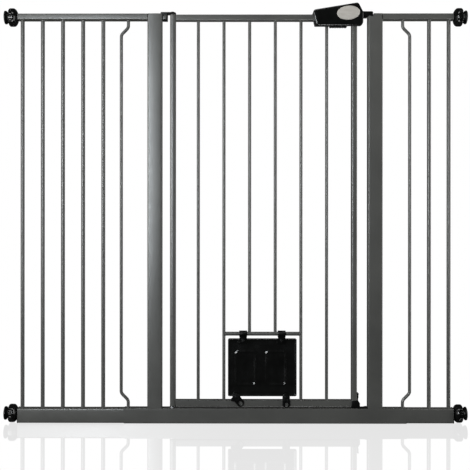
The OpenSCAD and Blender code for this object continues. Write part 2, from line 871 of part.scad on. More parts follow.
// A catch hanging from its pin: a spacer against the flap, a blade with a finger loop, and
// a stop tab of the given length beside the pin
module lever(x, tilt, tab) {
    translate([x, 0, lever_pivot_z]) rotate([0, -tilt, 0]) difference() {
        union() {
            rod_y(0, 0, 7, lever_y1, flap_front - 0.3);
            rod_y(0, 0, lever_r, lever_y0, lever_y1);
            rod_y(0, -lever_reach, lever_r, lever_y0, lever_y1);
            block(-lever_r, lever_r, lever_y0, lever_y1, -lever_reach, 0);
            if (tab > 0) {
                block(-tab, 0, lever_y0, lever_y1, -tab_r, tab_r);
                rod_y(-tab, 0, tab_r, lever_y0, lever_y1);
            }
        }
        rod_y(0, 0, lever_pin_r + fit, -big / 40, 0);
        for (z = [-lever_reach, -lever_reach - 3]) rod_y(0, z, 4.5, -big / 40, 0);
    }
}

module left_lever() {
    color(BLACK) lever(lever_x[0], left_lever_tilt, 11);
}

module right_lever() {
    color(BLACK) lever(lever_x[1], 0, 0);
}

// ---------------------------------------------------------------- nodes

bottom_rail();
left_post();
right_post();
left_stub_rail();
right_stub_rail();
left_offset_bar();
right_offset_bar();
left_post_cap();
strike_insert();
bottom_keeper();
upper_hinge_lug();
upper_hinge_cap();
upper_hinge_pin();
lower_hinge_pin();
left_extension_top_rail();
left_extension_bottom_rail();
left_extension_bars();
right_extension_top_rail();
right_extension_bottom_rail();
right_extension_bars();
joining_spigots();
spindle_bushes();
upper_left_hand_nut();
lower_left_hand_nut();
upper_right_hand_nut();
lower_right_hand_nut();
upper_left_spindle();
lower_left_spindle();
upper_right_spindle();
lower_right_spindle();
upper_left_wall_cup();
lower_left_wall_cup();
upper_right_wall_cup();
lower_right_wall_cup();
upper_left_wall_pad();
lower_left_wall_pad();
upper_right_wall_pad();
lower_right_wall_pad();
hinge_stile();
latch_stile();
door_top_rail();
door_bottom_rail();
door_bars_left();
door_short_bars();
door_bars_right();
flap_crossbar();
hinge_bushes();
bottom_catch();
handle_cover();
handle_body();
handle_badge();
handle_screws();
bolt_spring();
latch_bolt();
release_catch();
flap_panel();
flap_clips();
lever_pins();
left_lever();
right_lever();
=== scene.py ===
"""The looks of a pressure-fit pet gate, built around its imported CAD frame. Lengths are in metres."""

import json
import math

import bmesh
import bpy
from mathutils import Euler, Matrix, Vector, noise


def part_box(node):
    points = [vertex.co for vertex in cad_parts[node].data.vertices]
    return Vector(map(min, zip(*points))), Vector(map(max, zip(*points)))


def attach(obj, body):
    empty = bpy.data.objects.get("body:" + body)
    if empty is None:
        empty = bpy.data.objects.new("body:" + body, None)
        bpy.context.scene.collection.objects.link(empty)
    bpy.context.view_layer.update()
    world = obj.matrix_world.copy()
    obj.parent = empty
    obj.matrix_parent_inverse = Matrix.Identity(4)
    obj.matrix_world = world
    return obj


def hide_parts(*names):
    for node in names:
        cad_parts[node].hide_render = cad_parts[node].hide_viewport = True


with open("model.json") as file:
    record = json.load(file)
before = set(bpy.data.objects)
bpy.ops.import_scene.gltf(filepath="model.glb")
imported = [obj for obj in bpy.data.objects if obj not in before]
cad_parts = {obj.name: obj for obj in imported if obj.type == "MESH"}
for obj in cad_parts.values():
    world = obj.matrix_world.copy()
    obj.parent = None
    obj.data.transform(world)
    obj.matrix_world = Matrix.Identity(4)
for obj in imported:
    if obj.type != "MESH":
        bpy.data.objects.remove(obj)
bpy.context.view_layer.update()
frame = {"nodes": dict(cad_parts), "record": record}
behaviour = frame["record"]["behaviour"]
BODY = {node: body for body, nodes in behaviour["bodies"].items() for node in nodes}
SLOT = {row["node"]: row["material_slot"] for row in frame["record"]["subparts"]}
CORNERS = ["upper_left", "lower_left", "upper_right", "lower_right"]
MM = 0.001

# ---------------------------------------------------------------- materials


def node_tree(name):
    material = bpy.data.materials.new(name)
    material.use_nodes = True
    tree = material.node_tree
    return material, tree, tree.nodes["Principled BSDF"]


def add_node(tree, kind, links=(), **values):
    """A new node: links are (input, output socket) pairs, values set inputs by name or properties."""
    made = tree.nodes.new(kind)
    for key, value in values.items():
        name = key.replace("_", " ").title()
        if name in made.inputs:
            made.inputs[name].default_value = value
        else:
            setattr(made, key, value)
    for name, socket in links:
        tree.links.new(socket, made.inputs[name])
    return made


def noise_of(tree, scale, detail=3.0, stretch=(1, 1, 1)):
    """Noise in the object's own metres, scale cells to the metre, stretched along an axis."""
    place = add_node(tree, "ShaderNodeTexCoord")
    mapped = add_node(tree, "ShaderNodeMapping", [("Vector", place.outputs["Object"])])
    mapped.inputs["Scale"].default_value = stretch
    return add_node(tree, "ShaderNodeTexNoise", [("Vector", mapped.outputs["Vector"])],
                    scale=scale, detail=detail).outputs["Fac"]


def ramp_of(tree, fac, low, high, start=0.35, end=0.65):
    """A smooth blend from colour low to colour high as fac goes from start to end."""
    ramp = add_node(tree, "ShaderNodeValToRGB", [("Fac", fac)])
    ramp.color_ramp.elements[0].position = start
    ramp.color_ramp.elements[1].position = end
    ramp.color_ramp.elements[0].color = (*low, 1)
    ramp.color_ramp.elements[1].color = (*high, 1)
    return ramp.outputs["Color"]


def range_of(tree, fac, low, high):
    return add_node(tree, "ShaderNodeMapRange", [("Value", fac)],
                    from_min=0.3, from_max=0.7, to_min=low, to_max=high).outputs["Result"]


def bump_of(tree, shader, height, strength, distance, below=None):
    links = [("Height", height)] + ([("Normal", below)] if below else [])
    bump = add_node(tree, "ShaderNodeBump", links, strength=strength, distance=distance)
    tree.links.new(bump.outputs["Normal"], shader.inputs["Normal"])
    return bump.outputs["Normal"]


def powder_coat():
    """Satin slate-grey powder coat: orange peel, a fine grain, and slow changes of tone."""
    material, tree, shader = node_tree("slate_powder_coat")
    tone = ramp_of(tree, noise_of(tree, 7, 4), (0.046, 0.046, 0.043), (0.058, 0.058, 0.054))
    tree.links.new(tone, shader.inputs["Base Color"])
    tree.links.new(range_of(tree, noise_of(tree, 60), 0.28, 0.34), shader.inputs["Roughness"])
    shader.inputs["IOR"].default_value = 1.5
    grain = bump_of(tree, shader, noise_of(tree, 2600, 2), 0.10, 0.00008)
    bump_of(tree, shader, noise_of(tree, 420, 2), 0.20, 0.00035, grain)
    return material


def gloss_plastic():
    """Black gloss moulding with faint flow marks and handling smudges."""
    material, tree, shader = node_tree("black_gloss_plastic")
    tone = ramp_of(tree, noise_of(tree, 30), (0.0012, 0.0013, 0.0012), (0.0024, 0.0026, 0.0024))
    tree.links.new(tone, shader.inputs["Base Color"])
    tree.links.new(range_of(tree, noise_of(tree, 45, 5), 0.10, 0.22), shader.inputs["Roughness"])
    shader.inputs["IOR"].default_value = 1.46
    shader.inputs["Specular IOR Level"].default_value = 0.5
    bump_of(tree, shader, noise_of(tree, 90, 2, (1, 1, 0.4)), 0.08, 0.0006)
    return material


def matte_plastic():
    """Black spark-textured moulding."""
    material, tree, shader = node_tree("black_matte_plastic")
    tone = ramp_of(tree, noise_of(tree, 50), (0.0010, 0.0011, 0.0010), (0.0022, 0.0023, 0.0022))
    tree.links.new(tone, shader.inputs["Base Color"])
    tree.links.new(range_of(tree, noise_of(tree, 70), 0.26, 0.40), shader.inputs["Roughness"])
    shader.inputs["Specular IOR Level"].default_value = 0.15
    bump_of(tree, shader, noise_of(tree, 2200, 2), 0.18, 0.00010)
    return material


def zinc_steel():
    """Zinc-plated steel with drawn lines and a mottled plating."""
    material, tree, shader = node_tree("zinc_steel")
    tone = ramp_of(tree, noise_of(tree, 160, 4), (0.42, 0.42, 0.43), (0.60, 0.60, 0.62))
    tree.links.new(tone, shader.inputs["Base Color"])
    tree.links.new(range_of(tree, noise_of(tree, 300), 0.24, 0.42), shader.inputs["Roughness"])
    shader.inputs["Metallic"].default_value = 1.0
    bump_of(tree, shader, noise_of(tree, 500, 2, (1, 1, 0.1)), 0.10, 0.0002)
    return material


def black_rubber():
    """Matt rubber with a dusty bloom and a fine moulded grain."""
    material, tree, shader = node_tree("black_rubber")
    tone = ramp_of(tree, noise_of(tree, 220, 4), (0.010, 0.010, 0.010), (0.020, 0.020, 0.019))
    tree.links.new(tone, shader.inputs["Base Color"])
    tree.links.new(range_of(tree, noise_of(tree, 120), 0.68, 0.86), shader.inputs["Roughness"])
    bump_of(tree, shader, noise_of(tree, 1800, 3), 0.25, 0.00012)
    return material


def badge_silver():
    """Warm satin silver, brushed along the badge."""
    material, tree, shader = node_tree("badge_silver")
    lines = noise_of(tree, 900, 3, (0.05, 1, 1))
    tone = ramp_of(tree, lines, (0.27, 0.255, 0.23), (0.34, 0.32, 0.29))
    tree.links.new(tone, shader.inputs["Base Color"])
    tree.links.new(range_of(tree, lines, 0.42, 0.60), shader.inputs["Roughness"])
    shader.inputs["Metallic"].default_value = 0.1
    bump_of(tree, shader, lines, 0.15, 0.00010)
    return material


MATERIALS = {make.__name__: make() for make in [zinc_steel, black_rubber, badge_silver]}
MATERIALS["slate_powder_coat"] = powder_coat()
MATERIALS["black_gloss_plastic"] = gloss_plastic()
MATERIALS["black_matte_plastic"] = matte_plastic()

# ---------------------------------------------------------------- mesh helpers


def piece_of(name, bm, node, replaced=(), sharp=35):
    """Turns a bmesh into a piece with the body and finish of a CAD node; it stands for replaced."""
    bmesh.ops.recalc_face_normals(bm, faces=bm.faces)
    mesh = bpy.data.meshes.new(name)
    bm.to_mesh(mesh)
    bm.free()
    mesh.shade_smooth()
    mesh.set_sharp_from_angle(angle=math.radians(sharp))
    mesh.materials.append(MATERIALS[SLOT[node]])
    piece = bpy.data.objects.new(name, mesh)
    bpy.context.scene.collection.objects.link(piece)
    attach(piece, BODY[node])
    if replaced:
        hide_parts(*replaced)
    return piece


def join_rings(bm, rings, capped=True, looped=False):
    """Skins rings of points, each of the same length; looped joins the last ring to the first."""
    rows = [[bm.verts.new(point) for point in ring] for ring in rings]
    pairs = list(zip(rows, rows[1:])) + ([(rows[-1], rows[0])] if looped else [])
    for one, two in pairs:
        for i in range(len(one)):
            j = (i + 1) % len(one)
            bm.faces.new((one[i], one[j], two[j], two[i]))
    if capped and not looped:
        bm.faces.new(rows[0][::-1])
        bm.faces.new(rows[-1])


def circle(radius, sides):
    turn = 2 * math.pi / sides
    return [(radius * math.cos(i * turn), radius * math.sin(i * turn)) for i in range(sides)]


def lathe(bm, place, profile, sides=40):
    """A closed turned shape: profile is (distance along Z, radius) pairs, placed by a matrix."""
    rings = [[place @ Vector((x, y, along)) for x, y in circle(radius, sides)]
             for along, radius in profile]
    join_rings(bm, rings)


def welded_copy(node):
    """A bmesh of a CAD node with its faces joined and its flat faces whole."""
    bm = bmesh.new()
    bm.from_mesh(frame["nodes"][node].data)
    bmesh.ops.remove_doubles(bm, verts=bm.verts, dist=2e-6)
    bmesh.ops.dissolve_limit(bm, angle_limit=math.radians(0.6), verts=bm.verts, edges=bm.edges)
    return bm


def soften(node, width, segments=3):
    """The CAD shape of a moulded or pressed part with its sharp edges rounded."""
    bm = welded_copy(node)
    mesh = bpy.data.meshes.new("edges")
    bm.to_mesh(mesh)
    bm.free()
    draft = bpy.data.objects.new("edges", mesh)
    bpy.context.scene.collection.objects.link(draft)
    bevel = draft.modifiers.new("edges", "BEVEL")
    bevel.width = width
    bevel.segments = segments
    bevel.limit_method = "ANGLE"
    bevel.angle_limit = math.radians(32)
    bpy.context.view_layer.update()
    rounded = bpy.data.meshes.new_from_object(draft.evaluated_get(
        bpy.context.evaluated_depsgraph_get()))
    bpy.data.objects.remove(draft)
    bm = bmesh.new()
    bm.from_mesh(rounded)
    return piece_of(node + "_moulded", bm, node, [node], 40)


def solids_of(node):
    """The (low, high) corners of each separate solid in a CAD node, from left to right."""
    bm = welded_copy(node)
    boxes, left = [], set(bm.verts)
    while left:
        seen, queue = set(), [left.pop()]
        while queue:
            vertex = queue.pop()
            seen.add(vertex)
            near = {edge.other_vert(vertex) for edge in vertex.link_edges} - seen
            queue.extend(near)
            seen |= near
        left -= seen
        places = [vertex.co for vertex in seen]
        boxes.append((Vector([min(p[i] for p in places) for i in range(3)]),
                      Vector([max(p[i] for p in places) for i in range(3)])))
    bm.free()
    return sorted(boxes, key=lambda box: box[0].x)


# ---------------------------------------------------------------- rolled tubes

TUBE_CORNER = 3.0 * MM
TUBE_WALL = 1.5 * MM
TUBE_CROWN = 0.45 * MM
TOP_CORNER = 1.8 * MM
TOP_CROWN = 0.1 * MM
SILL_CORNER = 0.25 * MM       # the two rails under the doorway's gap
CORNER_STEPS = 5
SIDE_STEPS = 6


def tube_outline(half_w, half_h, radius, crown):
    """A rolled tube's section: round corners, and sides that stand proud by crown in the middle."""
    points = []
    flats = [half_w - crown - radius, half_h - crown - radius]
    reach = [half_w, half_h]
    for quarter in range(4):
        a, b = (0, 1) if quarter % 2 == 0 else (1, 0)
        turn = Matrix.Rotation(quarter * math.pi / 2, 2)
        for i in range(SIDE_STEPS):
            u = -1 + 2 * i / SIDE_STEPS
            points.append(turn @ Vector((reach[a] - crown * u * u, u * flats[b])))
        for i in range(CORNER_STEPS):
            angle = math.pi / 2 * i / CORNER_STEPS
            points.append(turn @ Vector((flats[a] + radius * math.cos(angle),
                                         flats[b] + radius * math.sin(angle))))
    return points


def tube_section(half_w, half_h, radius, crown):
    outer = tube_outline(half_w, half_h, radius, crown)
    inner = tube_outline(half_w - TUBE_WALL, half_h - TUBE_WALL, max(radius - TUBE_WALL, 0.3 * MM),
                         crown)
    return outer, inner


def rolled_tube(node, radius=TUBE_CORNER, crown=TUBE_CROWN):
    """A hollow tube along the CAD node's longest side."""
    low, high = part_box(node)
    size, middle = high - low, (high + low) / 2
    along = max(range(3), key=lambda i: size[i])
    across = [i for i in range(3) if i != along]
    outer, inner = tube_section(size[across[0]] / 2, size[across[1]] / 2, radius, crown)

    def ring(section, at):
        points = []
        for u, v in section:
            point = [0, 0, 0]
            point[across[0]] = middle[across[0]] + u
            point[across[1]] = middle[across[1]] + v
            point[along] = at
            points.append(point)
        return points

    bm = bmesh.new()
    join_rings(bm, [ring(outer, low[along]), ring(outer, high[along]),
                    ring(inner, high[along]), ring(inner, low[along])], looped=True)
    return piece_of(node + "_tube", bm, node, [node])


TUBES = [
    "left_post", "left_extension_bottom_rail", "right_extension_bottom_rail",
    "hinge_stile", "latch_stile",
]
TOP_TUBES = [
    "left_stub_rail", "right_stub_rail", "left_extension_top_rail", "right_extension_top_rail",
    "door_top_rail",
]
for tube in TUBES:
    rolled_tube(tube)
for tube in TOP_TUBES:
    rolled_tube(tube, TOP_CORNER, TOP_CROWN)
for tube in ["bottom_rail", "door_bottom_rail"]:
    rolled_tube(tube, SILL_CORNER, 0)


def cut_box(piece, low, high):
    """Takes a box out of a piece."""
    bm = bmesh.new()
    bmesh.ops.create_cube(bm, size=1)
    size, middle = Vector(high) - Vector(low), (Vector(high) + Vector(low)) / 2
    bmesh.ops.transform(bm, verts=bm.verts, matrix=Matrix.LocRotScale(middle, None, size))
    cutter_mesh = bpy.data.meshes.new("cutter")
    bm.to_mesh(cutter_mesh)
    bm.free()
    cutter = bpy.data.objects.new("cutter", cutter_mesh)
    bpy.context.scene.collection.objects.link(cutter)
    cut = piece.modifiers.new("cut", "BOOLEAN")
    cut.operation = "DIFFERENCE"
    cut.solver = "EXACT"
    cut.object = cutter
    bpy.context.view_layer.update()
    result = bpy.data.meshes.new_from_object(piece.evaluated_get(
        bpy.context.evaluated_depsgraph_get()))
    piece.modifiers.clear()
    bpy.data.objects.remove(cutter)
    piece.data = result
    result.shade_smooth()
    result.set_sharp_from_angle(angle=math.radians(35))


NOTCH_DEPTH = 7 * MM
NOTCH_LENGTH = 14.5 * MM
right_post = rolled_tube("right_post")
post_low, post_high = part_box("right_post")
cut_box(right_post, (post_low.x - MM, -0.03, post_high.z - NOTCH_DEPTH),
        (post_low.x + NOTCH_LENGTH, 0.03, post_high.z + MM))

# ---------------------------------------------------------------- round bars and weld beads

BAR_SIDES = 32
BEAD_R = 1.15 * MM
BEAD_SINK = 0.35 * MM


def upright_bar(bm, box):
    low, high = box
    radius = (high.x - low.x) / 2
    middle = (low + high) / 2
    lathe(bm, Matrix.Translation((middle.x, middle.y, 0)),
          [(low.z, radius), (high.z, radius)], BAR_SIDES)


def bead_ring(bm, centre, axis, radius, size=BEAD_R):
    """An uneven weld bead round a bar's end, about an axis."""
    turn = Vector((0, 0, 1)).rotation_difference(Vector(axis)).to_matrix().to_4x4()
    place = Matrix.Translation(centre) @ turn
    rings = []
    for i in range(28):
        angle = 2 * math.pi * i / 28
        lump = 1 + 0.45 * noise.noise(Vector(centre) * 900 + Vector((2 * math.cos(angle),
                                                                     2 * math.sin(angle), 0)))
        section = []
        for u, v in circle(size * lump, 8):
            reach = radius - BEAD_SINK + u
            section.append(place @ Vector((reach * math.cos(angle), reach * math.sin(angle),
                                           0.7 * v)))
        rings.append(section)
    join_rings(bm, rings, looped=True)


BAR_NODES = ["left_extension_bars", "right_extension_bars",
             "door_bars_left", "door_short_bars", "door_bars_right"]
beads = {"frame": bmesh.new(), "door": bmesh.new()}
for bar_node in BAR_NODES:
    bars = bmesh.new()
    for bar_box in solids_of(bar_node):
        upright_bar(bars, bar_box)
        middle_x = (bar_box[0].x + bar_box[1].x) / 2
        bar_radius = (bar_box[1].x - bar_box[0].x) / 2
        for end_z in (bar_box[0].z, bar_box[1].z):
            bead_ring(beads[BODY[bar_node]], (middle_x, 0, end_z), (0, 0, 1), bar_radius)
    piece_of(bar_node + "_rods", bars, bar_node, [bar_node])

# Offset bars: straight at both ends, cranked towards the outside beside the posts
BEND_R = 14 * MM
BEND_ANGLE = math.radians(45)
JOG = 18 * MM
JOG_FOOT = 13 * MM
BEND_STEPS = 10


def bent_path(steps):
    """Rows (x, z, tilt) along a rod that starts upwards: each step is (length, bend after it)."""
    x, z, tilt = 0.0, 0.0, 0.0
    rows = [(x, z, tilt)]
    for length, bend in steps:
        x += length * math.sin(tilt)
        z += length * math.cos(tilt)
        rows.append((x, z, tilt))
        for _ in range(BEND_STEPS if bend else 0):
            turned = tilt + bend / BEND_STEPS
            side = math.copysign(BEND_R, bend)
            x += side * (math.cos(tilt) - math.cos(turned))
            z += side * (math.sin(turned) - math.sin(tilt))
            tilt = turned
            rows.append((x, z, tilt))
    return rows


def offset_bar(node, side):
    low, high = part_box(node)
    radius = (high.y - low.y) / 2
    slant = (JOG - 2 * BEND_R * (1 - math.cos(BEND_ANGLE))) / math.sin(BEND_ANGLE)
    rise = 2 * BEND_R * math.sin(BEND_ANGLE) + slant * math.cos(BEND_ANGLE)
    run = high.z - low.z - 2 * (JOG_FOOT + rise)
    a = side * BEND_ANGLE
    rows = bent_path([(JOG_FOOT, a), (slant, -a), (run, -a), (slant, a), (JOG_FOOT, 0)])
    foot_x = (high.x if side < 0 else low.x) + side * radius
    bm = bmesh.new()
    join_rings(bm, [[(foot_x + x + u * math.cos(tilt), v, low.z + z - u * math.sin(tilt))
                     for u, v in circle(radius, BAR_SIDES)] for x, z, tilt in rows])
    for end_z in (low.z, high.z):
        bead_ring(beads["frame"], (foot_x, 0, end_z), (0, 0, 1), radius)
    return piece_of(node + "_rod", bm, node, [node])


offset_bar("left_offset_bar", -1)
offset_bar("right_offset_bar", 1)

# The crossbar that the flap hangs on, welded to the bars at its ends
CROSS_BEAD = 2.6 * MM         # from the crossbar's end to its bead's middle
cross_low, cross_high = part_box("flap_crossbar")
cross_z = (cross_low.z + cross_high.z) / 2
cross_r = (cross_high.y - cross_low.y) / 2
crossbar = bmesh.new()
cross_place = Matrix.Translation((cross_low.x, 0, cross_z)) @ Matrix.Rotation(math.pi / 2, 4, "Y")
lathe(crossbar, cross_place, [(0, cross_r), (cross_high.x - cross_low.x, cross_r)], BAR_SIDES)
for end_x, facing in ((cross_low.x, -1), (cross_high.x, 1)):
    bead_ring(beads["door"], (end_x - facing * CROSS_BEAD, 0, cross_z), (1, 0, 0), cross_r)
piece_of("flap_crossbar_rod", crossbar, "flap_crossbar", ["flap_crossbar"])


def bead_line(bm, points, size):
    """A weld bead that follows a closed line of points, lumpy like a real one."""
    count = len(points)
    rings = []
    for i in range(count):
        before, here, after = points[i - 1], points[i], points[(i + 1) % count]
        forward = (after - before).normalized()
        flat = forward.cross(Vector((0, 1, 0)) if abs(forward.y) < 0.9 else Vector((0, 0, 1)))
        flat.normalize()
        upright = forward.cross(flat)
        lump = size * (1 + 0.3 * noise.noise(here * 700))
        rings.append([here + flat * u + upright * v for u, v in circle(lump, 6)])
    join_rings(bm, rings, looped=True)


def seam(node, end, size=0.6 * MM):
    """A bead round the end of a tube where it meets its neighbour: end is 0 for low, 1 for high."""
    low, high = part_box(node)
    span, middle = high - low, (high + low) / 2
    along = max(range(3), key=lambda i: span[i])
    across = [i for i in range(3) if i != along]
    at = (low, high)[end][along]
    points = []
    for u, v in tube_outline(span[across[0]] / 2, span[across[1]] / 2, TUBE_CORNER, TUBE_CROWN):
        point = Vector((0, 0, 0))
        point[across[0]] = middle[across[0]] + u
        point[across[1]] = middle[across[1]] + v
        point[along] = at
        points.append(point)
    bead_line(beads[BODY[node]], points, size)


for welded, end in [("left_post", 0), ("right_post", 0), ("left_stub_rail", 1),
                    ("right_stub_rail", 0), ("door_top_rail", 0), ("door_top_rail", 1),
                    ("door_bottom_rail", 0), ("door_bottom_rail", 1)]:
    seam(welded, end)
piece_of("frame_weld_beads", beads["frame"], "bottom_rail")
piece_of("door_weld_beads", beads["door"], "hinge_stile")

# ---------------------------------------------------------------- wall fittings

THREAD_PITCH = 3 * MM
THREAD_DEPTH = 0.9 * MM
RINGS_PER_PITCH = 8
THREAD_SIDES = 32


def threaded_rod(node):
    """The spindle: a coarse rounded thread over its whole length, with chamfered ends."""
    low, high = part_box(node)
    radius = (high.y - low.y) / 2
    middle = (low + high) / 2
    length = high.x - low.x
    count = int(length / THREAD_PITCH * RINGS_PER_PITCH)
    rings = []
    for i in range(count + 1):
        x = low.x + length * i / count
        fade = min(1, (x - low.x) / (2 * MM), (high.x - x) / (2 * MM))
        ring = []
        for k in range(THREAD_SIDES):
            turn = k / THREAD_SIDES
            phase = (x - low.x) / THREAD_PITCH - turn
            crest = 0.5 + 0.5 * math.cos(2 * math.pi * phase)
            reach = radius - THREAD_DEPTH * (1 - fade * min(1, 1.35 * crest))
            angle = 2 * math.pi * turn
            ring.append((x, middle.y + reach * math.cos(angle), middle.z + reach * math.sin(angle)))
        rings.append(ring)
    bm = bmesh.new()
    join_rings(bm, rings)
    return piece_of(node + "_thread", bm, node, [node], 60)


HUB_RIBS = 10
RIB_R = 1.7 * MM
RIB_AT = 12.7 * MM            # from the nut's axis to a rib's middle
RIB_ENDS = (1.2 * MM, 11.8 * MM)


def nut_ribs(node, side):
    """Rounded ribs along the nut's hub; side is -1 for the gate's left end and 1 for its right."""
    low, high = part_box(node)
    wall_end = high.x if side > 0 else low.x
    middle_z = (low.z + high.z) / 2
    bm = bmesh.new()
    for i in range(HUB_RIBS):
        angle = 2 * math.pi * i / HUB_RIBS
        place = Matrix.Translation((wall_end, RIB_AT * -math.cos(angle),
                                    middle_z + RIB_AT * math.sin(angle))) \
            @ Matrix.Rotation(-side * math.pi / 2, 4, "Y")
        a, b = RIB_ENDS
        lathe(bm, place, [(a, RIB_R * 0.5), (a + 0.4 * MM, RIB_R * 0.9), (a + MM, RIB_R),
                          (b, RIB_R)], 20)
    piece_of(node + "_ribs", bm, node)


for corner in CORNERS:
    threaded_rod(corner + "_spindle")
    soften(corner + "_hand_nut", 0.7 * MM)
    nut_ribs(corner + "_hand_nut", -1 if "left" in corner else 1)
    soften(corner + "_wall_cup", 0.5 * MM)
    soften(corner + "_wall_pad", 0.4 * MM)

# ---------------------------------------------------------------- handle

# The handle's outline in the gate's x and z, and its sizes, in millimetres
HANDLE = [
    (204.5, 1007.3), (318, 1007.3), (322.9, 1014.5),
    (323.5, 1040.4), (310.5, 1066), (194.8, 1047),
]
HANDLE_CORNER = 7.5
SHELL = 2.5
SPLIT_Y = -10.5
EDGE_ROUND = 3.0
ARC_STEPS = 6


def inset_outline(points, distance, radius):
    """A convex outline moved inwards by distance, its corners rounded to radius less distance."""
    count = len(points)
    corners = [Vector(p) for p in points]
    normals = []
    for i in range(count):
        edge = (corners[(i + 1) % count] - corners[i]).normalized()
        normals.append(Vector((edge.y, -edge.x)))
    outline = []
    round_r = max(radius - distance, 0.3)
    for i in range(count):
        before, after = normals[i - 1], normals[i]
        depth = max(distance, distance + round_r)
        centre = corners[i] - depth * (before + after) / (1 + before.dot(after))
        swing = before.angle_signed(after)
        for k in range(ARC_STEPS + 1):
            direction = before.copy()
            direction.rotate(Matrix.Rotation(-swing * k / ARC_STEPS, 2))
            outline.append(centre + round_r * direction)
    return outline


def rounded_depths(joint_y, face_y, crown):
    """Rows of a shell: out along the side, round the edge, over the face, and back within."""
    out = 1 if face_y > joint_y else -1
    edge_y = face_y - out * crown
    rows = [(joint_y, 0.25), (joint_y + out * 0.25, 0)]
    for k in range(7):
        angle = math.pi / 2 * k / 6
        rows.append((edge_y - out * EDGE_ROUND * (1 - math.sin(angle)),
                     EDGE_ROUND * (1 - math.cos(angle))))
    rows += [(face_y - out * crown * 0.35, 6), (face_y, 9.5)]
    inside = face_y - out * SHELL
    return rows, [(inside, 9), (inside, SHELL), (joint_y, SHELL)]


def make_shell(name, node, joint_y, face_y, crown):
    outer, inner = rounded_depths(joint_y, face_y, crown)
    bm = bmesh.new()

    def ring(row):
        return [bm.verts.new((x * MM, row[0] * MM, z * MM))
                for x, z in inset_outline(HANDLE, row[1], HANDLE_CORNER)]

    outside = [ring(row) for row in outer]
    inside = [ring(row) for row in inner]
    for one, two in zip(outside, outside[1:]):
        for i in range(len(one)):
            bm.faces.new((one[i], one[(i + 1) % len(one)], two[(i + 1) % len(one)], two[i]))
    for one, two in list(zip(inside, inside[1:])) + [(inside[-1], outside[0])]:
        for i in range(len(one)):
            bm.faces.new((one[i], one[(i + 1) % len(one)], two[(i + 1) % len(one)], two[i]))
    bm.faces.new(outside[-1])
    bm.faces.new(inside[0])
    return piece_of(name, bm, node, [node])


cover = make_shell("handle_cover_shell", "handle_cover", SPLIT_Y,
                   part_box("handle_cover")[0].y / MM, 0.7)

GAP = 0.3 * MM
BOLT_TRAVEL = 16 * MM
catch_low, catch_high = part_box("release_catch")
cut_box(cover, (catch_low.x - BOLT_TRAVEL - 5 * GAP, catch_low.y - MM, catch_low.z - MM),
        (catch_high.x + 5 * GAP, -5 * MM, catch_low.z + 7 * MM))

EDGES = {                     # width of the rounded edges, in millimetres
    "handle_body": 0.7, "release_catch": 0.5, "latch_bolt": 0.8, "upper_hinge_cap": 1.0,
    "bottom_catch": 0.8, "bottom_keeper": 0.4, "flap_clips": 0.9,
    "left_lever": 0.7, "right_lever": 0.7, "lever_pins": 0.5,
    "handle_screws": 0.15, "left_post_cap": 0.4, "strike_insert": 0.4,
    "upper_hinge_lug": 0.6, "upper_hinge_pin": 0.4,
    "lower_hinge_pin": 0.4, "hinge_bushes": 0.3,
    "spindle_bushes": 0.3, "joining_spigots": 0.4,
}
for softened, edge in EDGES.items():
    soften(softened, edge * MM)


BADGE_HALF_W, BADGE_HALF_H = 29.0 * MM, 17.6 * MM
BADGE_TILT = math.radians(5)


def badge():
    """A blank oval badge: a raised rim round a gently domed face."""
    low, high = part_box("handle_badge")
    middle = (low + high) / 2
    place = Matrix.Translation((middle.x, 0, middle.z)) @ Matrix.Rotation(-BADGE_TILT, 4, "Y")
    front, back = low.y, high.y
    rows = [(back, 0), (front + 0.5 * MM, 0), (front + 0.15 * MM, 0.15), (front, 0.5),
            (front, 1.3), (front + 0.2 * MM, 1.8), (front + 0.55 * MM, 2.1),
            (front + 0.5 * MM, 4), (front + 0.3 * MM, 8), (front + 0.2 * MM, 14)]
    bm = bmesh.new()
    rings = []
    for y, inset in rows:
        a, b = BADGE_HALF_W - inset * MM, BADGE_HALF_H - inset * MM
        rings.append([place @ Vector((a * math.cos(t), y, b * math.sin(t)))
                      for t in (2 * math.pi * i / 72 for i in range(72))])
    join_rings(bm, rings)
    return piece_of("badge_plate", bm, "handle_badge", ["handle_badge"], 50)


badge()
frame["nodes"]["bolt_spring"].data.materials.clear()
frame["nodes"]["bolt_spring"].data.materials.append(MATERIALS["zinc_steel"])

# ---------------------------------------------------------------- cat flap

# Sizes of the flap in millimetres: x and z are the gate's, but the raised frames' x is from the
# panel's middle
PANEL_HALF_W, PANEL_HALF_H = 87.5, 73.5
PANEL_X, PANEL_Z = 68.8, 140.8
PANEL_CORNER = 4.0
PANEL_STEP = 1.6              # size of the height field's cells
FACE_DEPTH = 2.8              # half thickness of the recessed face
RIM_RISE = 1.2
FRAME_RISE = 1.8
EDGE_R = 1.4
CLIP_X = [20, 118]
CLIP_Z = 212
LEVER_X = [2, 129]
TAB_Z = 68
FRAME_MIDDLES = [(-42, 139), (35, 139)]
FRAME_SIZE = (53, 88)
FRAME_CORNER = 7


def smooth(value, low, high):
    t = max(0.0, min(1.0, (value - low) / (high - low)))
    return t * t * (3 - 2 * t)


def rounded_distance(x, z, half_w, half_h, radius):
    """Distance from a rounded rectangle's line, negative inside it."""
    qx, qz = abs(x) - half_w + radius, abs(z) - half_h + radius
    return math.hypot(max(qx, 0), max(qz, 0)) + min(max(qx, qz), 0) - radius


